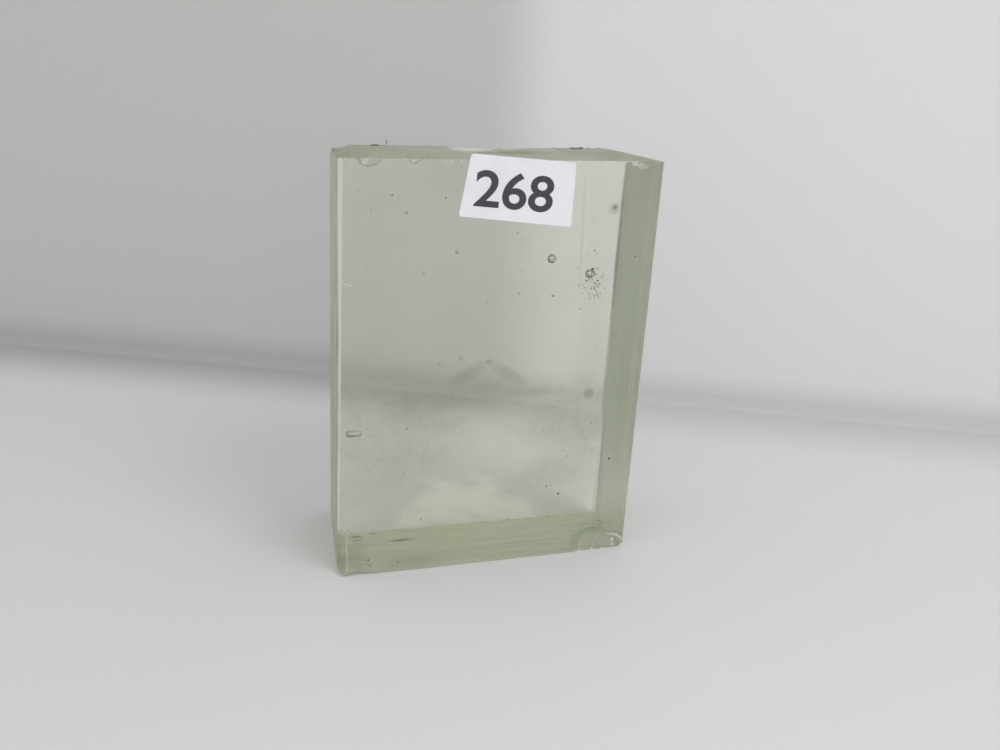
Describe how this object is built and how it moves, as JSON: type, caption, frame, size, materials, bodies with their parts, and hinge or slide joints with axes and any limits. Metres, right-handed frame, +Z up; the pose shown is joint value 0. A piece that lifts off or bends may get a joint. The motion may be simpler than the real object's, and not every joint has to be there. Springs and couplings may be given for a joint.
{
  "type": "glass block",
  "caption": "Thick upright slab of clear pale green cast glass with sawn, ground sides, chipped edges and a paper lot label on its front.",
  "frame": {"origin": "middle of the foot, centre of the bounding box at the level it stands on", "axes": "+X along the width to the right of the labelled front face, +Y from the front face to the back, +Z up the height"},
  "size_m": [0.112, 0.0512, 0.1495],
  "materials": {
    "pale_green_glass": "polished front and back, ground sides, chipped edges",
    "white_paper": "matt white label paper with dark printed digits"
  },
  "bodies": {
    "root": {"glass_block": "pale_green_glass", "lot_label": "white_paper"}
  },
  "joints": []
}
